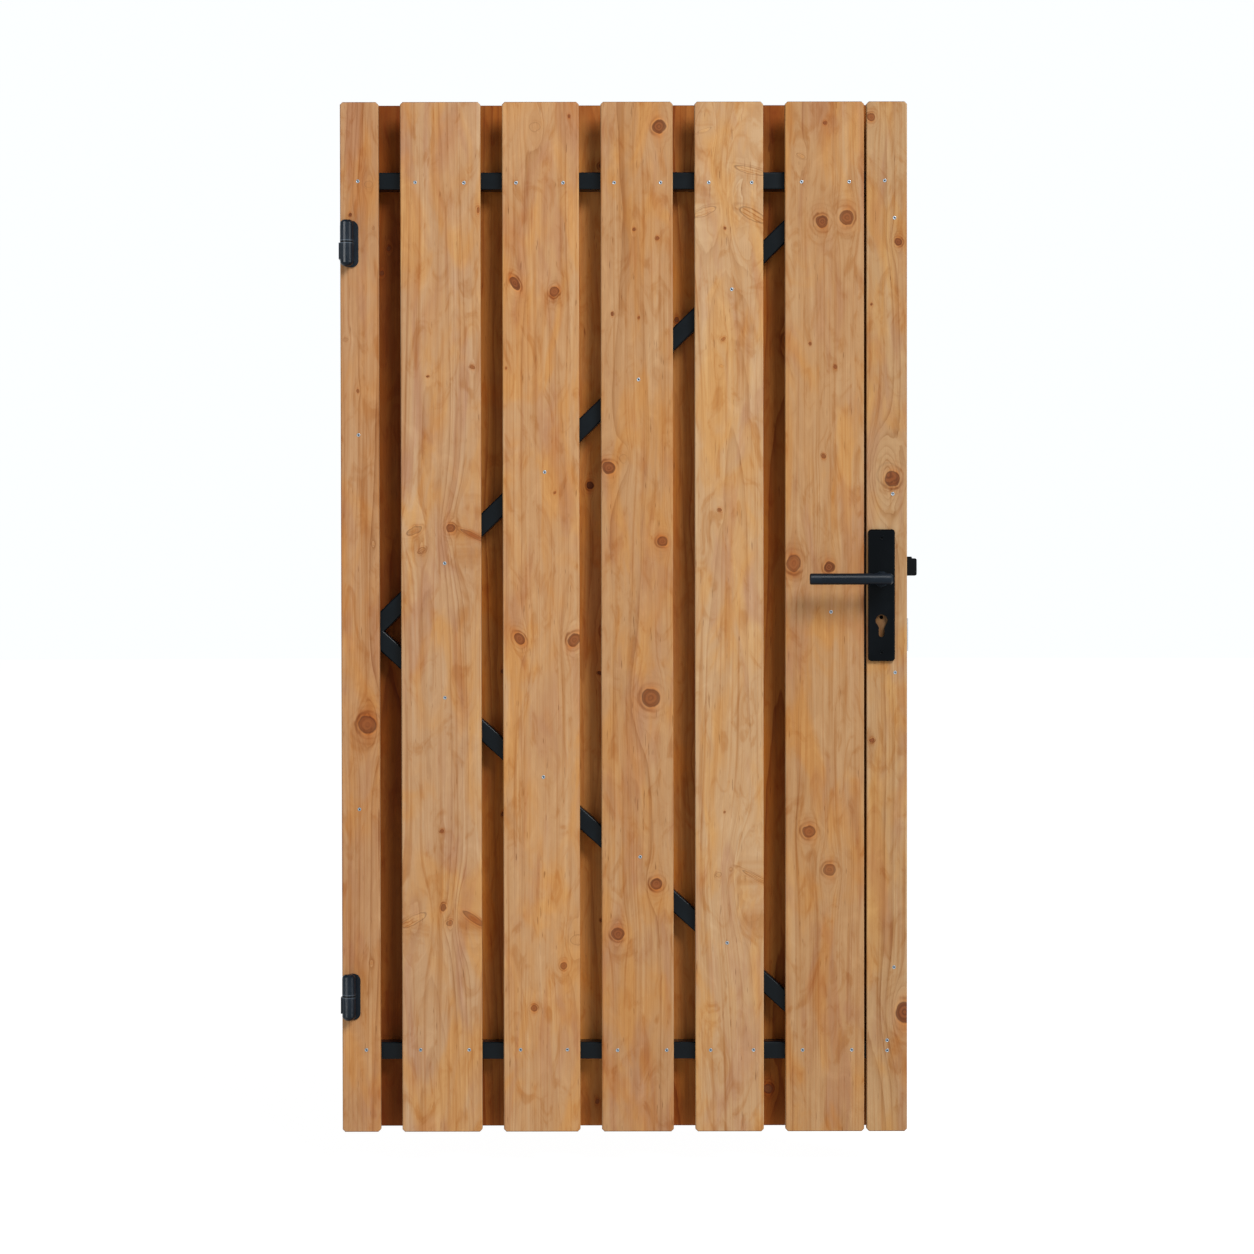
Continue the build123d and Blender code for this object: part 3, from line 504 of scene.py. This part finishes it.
REAR_WOOD = {
    1: ((0.304, 0.154, 0.063), (0.215, 0.060, 0.0100), 22, 74, 6.0, 0.75),
    2: ((0.318, 0.172, 0.076), (0.335, 0.118, 0.0235), -22, 60, 6.6, 0.75),
    3: ((0.328, 0.180, 0.080), (0.450, 0.185, 0.0480), 16, 80, 5.6, 0.70),
    4: ((0.306, 0.160, 0.068), (0.385, 0.145, 0.0340), -10, 70, 6.2, 0.70),
    5: ((0.318, 0.170, 0.074), (0.310, 0.104, 0.0190), 24, 66, 5.8, 0.75),
    6: ((0.304, 0.158, 0.067), (0.340, 0.120, 0.0230), -18, 78, 6.4, 0.70),
}

# The knots of the rear boards that show through the gaps, and the rows of those that are made up
REAR_KNOTS_SHOWN = {
    1: [(81, 1551, 3.5, 1.2, 0, 0.9), (69, 1508, 3.0, 1.5, 0, 0.8)],
    3: [(435, 1133, 6.0, 1.1, 0, 0.95), (451, 803, 3.5, 0.9, 0, 0.9)],
    4: [(587, 1426, 4.0, 1.2, 0, 0.8)],
    5: [(748, 67, 7.5, 1.0, 0, 0.9)],
}
MADE_UP_KNOTS = 7
KNOT_SEED = 40
FIRST_ROW_MM, ROW_STEP_MM, ROW_SHIFT_MM = 110, 255, 70
KNOT_RADII_MM = (3, 4, 7, 9, 12)
FROM_EDGE_MM = (12, 33)


def rear_knots(number, low, high):
    """Knots of a rear board: those that show through the gaps and more near its edges."""
    rng = random.Random(KNOT_SEED + number)
    knots = list(REAR_KNOTS_SHOWN.get(number, []))
    left, right = (low.x - DOOR_LEFT) / MM, (high.x - DOOR_LEFT) / MM
    for step in range(MADE_UP_KNOTS):
        height = FIRST_ROW_MM + step * ROW_STEP_MM + rng.uniform(-ROW_SHIFT_MM, ROW_SHIFT_MM)
        radius = rng.choice(KNOT_RADII_MM)
        aside = rng.uniform(*FROM_EDGE_MM)
        knots.append((rng.choice((left + aside, right - aside)), height, radius,
                      rng.uniform(0.85, 1.3), rng.uniform(-30, 30), rng.uniform(0.65, 0.9)))
    return knots


# How far apart the boards lie in the noises, so that no two look alike
FRONT_STEP = 3.1
REAR_START, REAR_STEP = 30, 2.7


def paint(node, material):
    """Gives a CAD node one material, on its object's slots."""
    piece = NODES[node]
    for slot in piece.material_slots:
        slot.link = "OBJECT"
        slot.material = material
    if not piece.material_slots:
        piece.data.materials.append(material)


def finish_boards():
    for number, values in FRONT_WOOD.items():
        node = f"front_board_{number}"
        low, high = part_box(node)
        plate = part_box("front_escutcheon") if number == len(FRONT_WOOD) else None
        middle = (low.x + high.x) / 2
        paint(node, wood(node + "_wood", FRONT_KNOTS[number], number * FRONT_STEP, middle, low.y, 1, *values, plate))
    for number, values in REAR_WOOD.items():
        node = f"rear_board_{number}"
        low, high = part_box(node)
        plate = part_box("rear_escutcheon") if number == len(REAR_WOOD) else None
        middle = (low.x + high.x) / 2
        knots = rear_knots(number, low, high)
        seed = REAR_START + number * REAR_STEP
        paint(node, wood(node + "_wood", knots, seed, middle, high.y, -1, *values, plate))


# Metals and plastics

# Painted at the seam round a hinge barrel: a black line of painted shade with lighter edges of painted highlight,
# told from the plate behind by its width
SEAM_SHADE_REACH = (1.1 * MM, 1.5 * MM)
SEAM_HIGHLIGHT_REACH = 2.3 * MM
SEAM_HIGHLIGHT_TONE = (0.020, 0.026, 0.033)
BARREL_EDGE = (1.0 * MM, 1.6 * MM)
BLACK = (0.0, 0.0, 0.0)


def coated(name, colour, roughness, grain, depth, shine=0.15, seams=()):
    """Coated metal or plastic with a fine orange peel.

    The grain is how fine the peel is and the depth its height. The seams are the boxes of the washers, round
    which the barrel gets a painted shade line with painted highlight edges.
    """
    material, g, shader = new_material(name)
    place = g.node("ShaderNodeTexCoord").outputs["Object"]
    peel = g.noise(g.scaled(place, (grain,) * 3), 3.0, 0.6)
    cloud = g.noise(g.scaled(place, (14, 14, 14)), 3.0, 0.6)
    lighter = tuple(c * 1.5 + 0.0004 for c in colour)
    shown = g.mix(g.span(cloud, 0.35, 0.75), colour, lighter)
    for low, high in seams:
        x, _, z = g.split(place)
        height = g.math("ABSOLUTE", g.subtract(z, (low.z + high.z) / 2))
        beside = g.math("ABSOLUTE", g.subtract(x, (low.x + high.x) / 2))
        full, none = ((high.x - low.x) / 2 + margin for margin in BARREL_EDGE)
        barrel = g.span(beside, full, none, 1.0, 0.0)
        # Painted highlight on the lighter edges beside the seam, then painted shade in the black seam line
        shown = g.mix(g.times(g.bell(height, SEAM_HIGHLIGHT_REACH, SEAM_HIGHLIGHT_REACH * 0.5), barrel), shown, SEAM_HIGHLIGHT_TONE)
        shown = g.mix(g.times(g.span(height, *SEAM_SHADE_REACH, 1.0, 0.0), barrel), shown, BLACK)
    g.feed(shader.inputs["Base Color"], shown)
    g.feed(shader.inputs["Roughness"], g.span(cloud, 0.3, 0.7, roughness - 0.05, roughness + 0.07))
    shader.inputs["Specular IOR Level"].default_value = shine
    g.feed(shader.inputs["Normal"], g.bump(peel, depth))
    return material


BRUSH = (900, 900, 120)
BRUSH_DEPTH = 0.00002


def bare_metal(name, colour, roughness):
    """Turned or rolled metal without a coat."""
    material, g, shader = new_material(name)
    place = g.node("ShaderNodeTexCoord").outputs["Object"]
    brushed = g.noise(g.scaled(place, BRUSH), 3.0, 0.6)
    darker = tuple(c * 0.7 for c in colour)
    g.feed(shader.inputs["Base Color"], g.mix(g.span(brushed, 0.35, 0.7), colour, darker))
    g.feed(shader.inputs["Roughness"], g.span(brushed, 0.3, 0.7, roughness, roughness + 0.15))
    shader.inputs["Metallic"].default_value = 1.0
    g.feed(shader.inputs["Normal"], g.bump(brushed, BRUSH_DEPTH))
    return material


WASHERS = [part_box(side + "_hinge_washer") for side in ("lower", "upper")]
FRAME_COAT = coated("frame_coat", (0.0010, 0.0026, 0.0040), 0.30, grain=1400, depth=0.00002, shine=0.12)
HINGE_COAT = coated("hinge_coat", (0.0006, 0.0020, 0.0038), 0.30, grain=500, depth=0.000003, shine=0.12,
                    seams=WASHERS)
LEVER_COAT = coated("lever_coat", (0.0006, 0.0018, 0.0034), 0.30, grain=500, depth=0.000003, shine=0.12)
PLATE_COAT = coated("plate_coat", (0.0007, 0.0014, 0.0021), 0.28, grain=2200, depth=0.00001, shine=0.06)
LOCK_COAT = coated("lock_coat", (0.0020, 0.0027, 0.0034), 0.36, grain=1800, depth=0.00002, shine=0.08)
CAP_PLASTIC = coated("cap_plastic", (0.006, 0.007, 0.008), 0.55, grain=900, depth=0.00005)
WASHER_BLACK = coated("washer_black", (0.0004, 0.0005, 0.0006), 0.6, grain=900, depth=0.00002, shine=0.02)
STAINLESS = bare_metal("stainless", (0.60, 0.62, 0.65), 0.26)
ZINC = bare_metal("zinc", (0.30, 0.35, 0.40), 0.34)
# Painted shade for the star recesses of the screws
RECESS_SHADE = coated("recess_shade", (0.02, 0.025, 0.03), 0.5, grain=900, depth=0.00002)
BLIND_RECESS_SHADE = coated("blind_recess_shade", (0.0004, 0.0006, 0.0008), 0.5, grain=900, depth=0.00002, shine=0.02)

# A node takes the material of the first of these that its name holds, or else the frame's coat
METAL_NODES = {
    "hinge_washer": WASHER_BLACK,
    "_cap": CAP_PLASTIC,
    "hinge_door_half": HINGE_COAT,
    "hinge_post_half": HINGE_COAT,
    "lever": LEVER_COAT,
    "escutcheon": PLATE_COAT,
    "spindle": STAINLESS,
    "latch_bolt": LOCK_COAT,
    "dead_bolt": STAINLESS,
    "forend": LOCK_COAT,
    "lock_case": LOCK_COAT,
}


def finish_metals():
    for node in NODES:
        if "_board_" in node:
            continue
        found = [made for part, made in METAL_NODES.items() if part in node]
        paint(node, found[0] if found else FRAME_COAT)


# Screws

SCREW_RADIUS = 3.1 * MM
SCREW_PROUD = 0.25 * MM
SCREW_SUNK = 0.3 * MM
SCREW_SIDES = 24
STAR_POINTS = 6
STAR_DEPTH = 0.16
RECESS_FLOOR = 0.05 * MM
PLATE_SCREW_RADIUS = 4.0 * MM
PLATE_SCREW_INSET = 14.8 * MM
SCREW_SEED = 7

# Screws of the front boards: mm from the door's left edge and above its foot
FRONT_SCREWS_MM = (
    (31, 1662), (131, 1660), (216, 1659), (307, 1659), (389, 1659), (478, 1659), (559, 1659), (643, 1659),
    (718, 1659), (805, 1660), (888, 1660), (950, 1662), (42, 144), (137, 144), (222, 144), (312, 144),
    (394, 144), (482, 143), (568, 143), (645, 143), (720, 143), (806, 143), (892, 143), (954, 142),
    (954, 160), (31, 1220), (31, 566), (181, 996), (181, 761), (356, 1155), (353, 622), (520, 1316),
    (522, 482), (683, 1473), (674, 331), (856, 910), (967, 1597), (964, 1116), (968, 804), (966, 288),
)


def add_points(bm, points):
    return [bm.verts.new(p) for p in points]


def add_screw(bm, x, y, z, facing, turn, radius):
    """Countersunk head with a star recess. Facing is -1 on the front and 1 on the rear."""
    def circle(share, depth, lobes=0.0):
        made = []
        for step in range(SCREW_SIDES):
            angle = turn + 2 * math.pi * step / SCREW_SIDES
            r = radius * share * (1 + lobes * math.cos(STAR_POINTS * angle))
            made.append(Vector((x + r * math.cos(angle), y + facing * depth, z + r * math.sin(angle))))
        return add_points(bm, made)

    # From the sunk foot over the rounded edge into the star and down to its floor; the star's inner wall and floor
    # take the second material, a painted shade
    rows = [
        circle(1.0, -SCREW_SUNK), circle(1.0, SCREW_PROUD * 0.55), circle(0.93, SCREW_PROUD),
        circle(0.47, SCREW_PROUD, STAR_DEPTH), circle(0.43, RECESS_FLOOR, STAR_DEPTH),
    ]
    for low, high in zip(rows, rows[1:]):
        for i in range(SCREW_SIDES):
            j = (i + 1) % SCREW_SIDES
            face = bm.faces.new((low[i], low[j], high[j], high[i]))
            face.smooth = True
            face.material_index = 1 if high is rows[-1] else 0
    face = bm.faces.new(rows[-1])
    face.material_index = 1
    bm.faces.new(list(reversed(rows[0])))


def screws(name, places, y, facing, head, recess, radius=SCREW_RADIUS):
    """One piece of screw heads at the given X and Z places."""
    bm = bmesh.new()
    rng = random.Random(SCREW_SEED)
    for x, z in places:
        add_screw(bm, x, y, z, facing, rng.uniform(0, math.pi), radius)
    bmesh.ops.recalc_face_normals(bm, faces=bm.faces)
    mesh = bpy.data.meshes.new(name)
    bm.to_mesh(mesh)
    bm.free()
    mesh.materials.append(head)
    mesh.materials.append(recess)
    piece = bpy.data.objects.new(name, mesh)
    bpy.context.scene.collection.objects.link(piece)
    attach(piece, "door_leaf")
    return piece


# Rails and braces on which the rear boards' screws lie: rows above the door's foot, and each brace's
# height at the hinge stile with its rise for every mm to the right
RAIL_ROWS_MM = (1664, 141)
RAIL_SCREW_INSET_MM = 28
BRACE_START_MM = 67
BRACES = ((892, 0.969), (862, -0.898))


def rear_screw_places():
    """Two screws at each rail on every rear board, and one at each brace on all but the outer two."""
    places = []
    for number in REAR_WOOD:
        low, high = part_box(f"rear_board_{number}")
        left, right = (low.x - DOOR_LEFT) / MM, (high.x - DOOR_LEFT) / MM
        middle = (left + right) / 2
        for row in RAIL_ROWS_MM:
            places += [(left + RAIL_SCREW_INSET_MM, row), (right - RAIL_SCREW_INSET_MM, row)]
        if 1 < number < len(REAR_WOOD):
            places += [(middle, start + rise * (middle - BRACE_START_MM)) for start, rise in BRACES]
    return places


def finish_screws():
    places = [on_door(*place) for place in FRONT_SCREWS_MM]
    screws("front_screws", places, FRONT, -1, ZINC, RECESS_SHADE)
    places = [on_door(*place) for place in rear_screw_places()]
    screws("rear_screws", places, REAR, 1, ZINC, RECESS_SHADE)
    for side, facing in (("front", -1), ("rear", 1)):
        low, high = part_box(side + "_escutcheon")
        middle = (low.x + high.x) / 2
        places = [(middle, low.z + PLATE_SCREW_INSET), (middle, high.z - PLATE_SCREW_INSET)]
        screws(side + "_plate_screws", places, low.y if facing < 0 else high.y, facing, PLATE_COAT, BLIND_RECESS_SHADE,
               PLATE_SCREW_RADIUS)


# Stage: a white floor that meets a white horizon, with a dimmer room above

FLOOR_RADIUS = 60.0
FLOOR_SIDES = 64
FLOOR_DROP = 0.06
FLOOR_TONE = 0.12
FLOOR_GLOW = 0.96
SKY_TONE = (0.96, 0.98, 1.0)
WHITE_UP_TO = 0.20
DIM_FROM = 0.48
HORIZON = 1.02
OVERHEAD = 0.30
ACROSS_MIDDLE = 0.5


def build_stage():
    scene = bpy.context.scene
    scene.view_settings.view_transform = "Standard"
    world = bpy.data.worlds.new("studio")
    world.use_nodes = True
    g = Graph(world.node_tree)
    sky = world.node_tree.nodes["Background"]
    sky.inputs["Color"].default_value = (*SKY_TONE, 1.0)
    height = g.split(g.node("ShaderNodeTexCoord").outputs["Generated"])[2]
    g.feed(sky.inputs["Strength"], g.span(height, WHITE_UP_TO, DIM_FROM, HORIZON, OVERHEAD))
    scene.world = world
    bm = bmesh.new()
    rim = [(ACROSS_MIDDLE + FLOOR_RADIUS * math.cos(a), FLOOR_RADIUS * math.sin(a), DOOR_FOOT - FLOOR_DROP)
           for a in (2 * math.pi * step / FLOOR_SIDES for step in range(FLOOR_SIDES))]
    bm.faces.new(add_points(bm, rim))
    mesh = bpy.data.meshes.new("floor")
    bm.to_mesh(mesh)
    bm.free()
    material, _, shader = new_material("floor_paper")
    shader.inputs["Base Color"].default_value = (FLOOR_TONE, FLOOR_TONE, FLOOR_TONE, 1.0)
    shader.inputs["Roughness"].default_value = 0.9
    shader.inputs["Specular IOR Level"].default_value = 0.0
    shader.inputs["Emission Color"].default_value = (1.0, 1.0, 1.0, 1.0)
    shader.inputs["Emission Strength"].default_value = FLOOR_GLOW
    mesh.materials.append(material)
    floor = bpy.data.objects.new("floor", mesh)
    scene.collection.objects.link(floor)


def area_light(name, place, target, size, power):
    """A disk of that width, or a rectangle of that width and height."""
    data = bpy.data.lights.new(name, "AREA")
    if isinstance(size, tuple):
        data.shape = "RECTANGLE"
        data.size, data.size_y = size
    else:
        data.shape = "DISK"
        data.size = size
    data.energy = power
    lamp = bpy.data.objects.new(name, data)
    lamp.visible_camera = False
    lamp.location = place
    lamp.rotation_mode = "QUATERNION"
    lamp.rotation_quaternion = (Vector(target) - Vector(place)).to_track_quat("-Z", "Y")
    bpy.context.scene.collection.objects.link(lamp)
    return lamp


# The key light is far and wide, so that it is soft and the same from top to bottom
LIT_HEIGHT = 0.68
TOWARDS_KEY = (0.35, -0.58, 0.505)
KEY_DISTANCE = 12.0
KEY_WIDTH = 5.4
KEY_POWER = 2000

# Softboxes that light the hinges and levers alone, for reflections on their rounds: degrees from straight
# ahead, to the right or, for the top box, up, then width and power
BOX_DISTANCE = 2.5
BOX_HEIGHT = 2.4
LEFT_BOX = (-38, 1.40, 180)
RIGHT_BOX = (62, 0.55, 58)
TOP_BOX = (50, 1.40, 62)


def build_lights():
    middle = Vector((ACROSS_MIDDLE, FRONT, LIT_HEIGHT))
    towards_key = Vector(TOWARDS_KEY).normalized()
    area_light("key", middle + towards_key * KEY_DISTANCE, middle, KEY_WIDTH, KEY_POWER)
    hardware = bpy.data.collections.new("hardware")
    for node, piece in NODES.items():
        if "_half" in node or "_lever" in node:
            hardware.objects.link(piece)
    hinge_side = Vector((DOOR_LEFT, FRONT, DOOR_FOOT + BOX_HEIGHT / 2))
    lamps = []
    for name, (degrees, width, power) in (("left_box", LEFT_BOX), ("right_box", RIGHT_BOX)):
        angle = math.radians(degrees)
        away = Vector((math.sin(angle), -math.cos(angle), 0)) * BOX_DISTANCE
        lamps.append(area_light(name, hinge_side + away, hinge_side, (width, BOX_HEIGHT), power))
    degrees, width, power = TOP_BOX
    angle = math.radians(degrees)
    away = Vector((0.0, -math.cos(angle), math.sin(angle))) * BOX_DISTANCE
    lamps.append(area_light("top_box", middle + away, middle, (width, width), power))
    for lamp in lamps:
        lamp.light_linking.receiver_collection = hardware


def build_camera():
    data = bpy.data.cameras.new("camera")
    data.sensor_width = SENSOR_MM
    data.lens = SENSOR_MM * FOCAL_PX / IMAGE_SIDE_PX
    data.shift_y = (PRINCIPAL_ROW_PX - IMAGE_SIDE_PX / 2) / IMAGE_SIDE_PX
    camera = bpy.data.objects.new("camera", data)
    camera.location = (DOOR_LEFT + CAMERA_RIGHT, FRONT - CAMERA_DISTANCE, DOOR_FOOT + CAMERA_HEIGHT)
    level = Matrix.Rotation(math.radians(90) - CAMERA_DIP, 3, "X")
    camera.rotation_euler = (level @ Matrix.Rotation(CAMERA_ROLL, 3, "Z")).to_euler()
    bpy.context.scene.collection.objects.link(camera)
    bpy.context.scene.camera = camera


build_stage()
build_lights()
build_camera()
finish_boards()
finish_metals()
finish_screws()
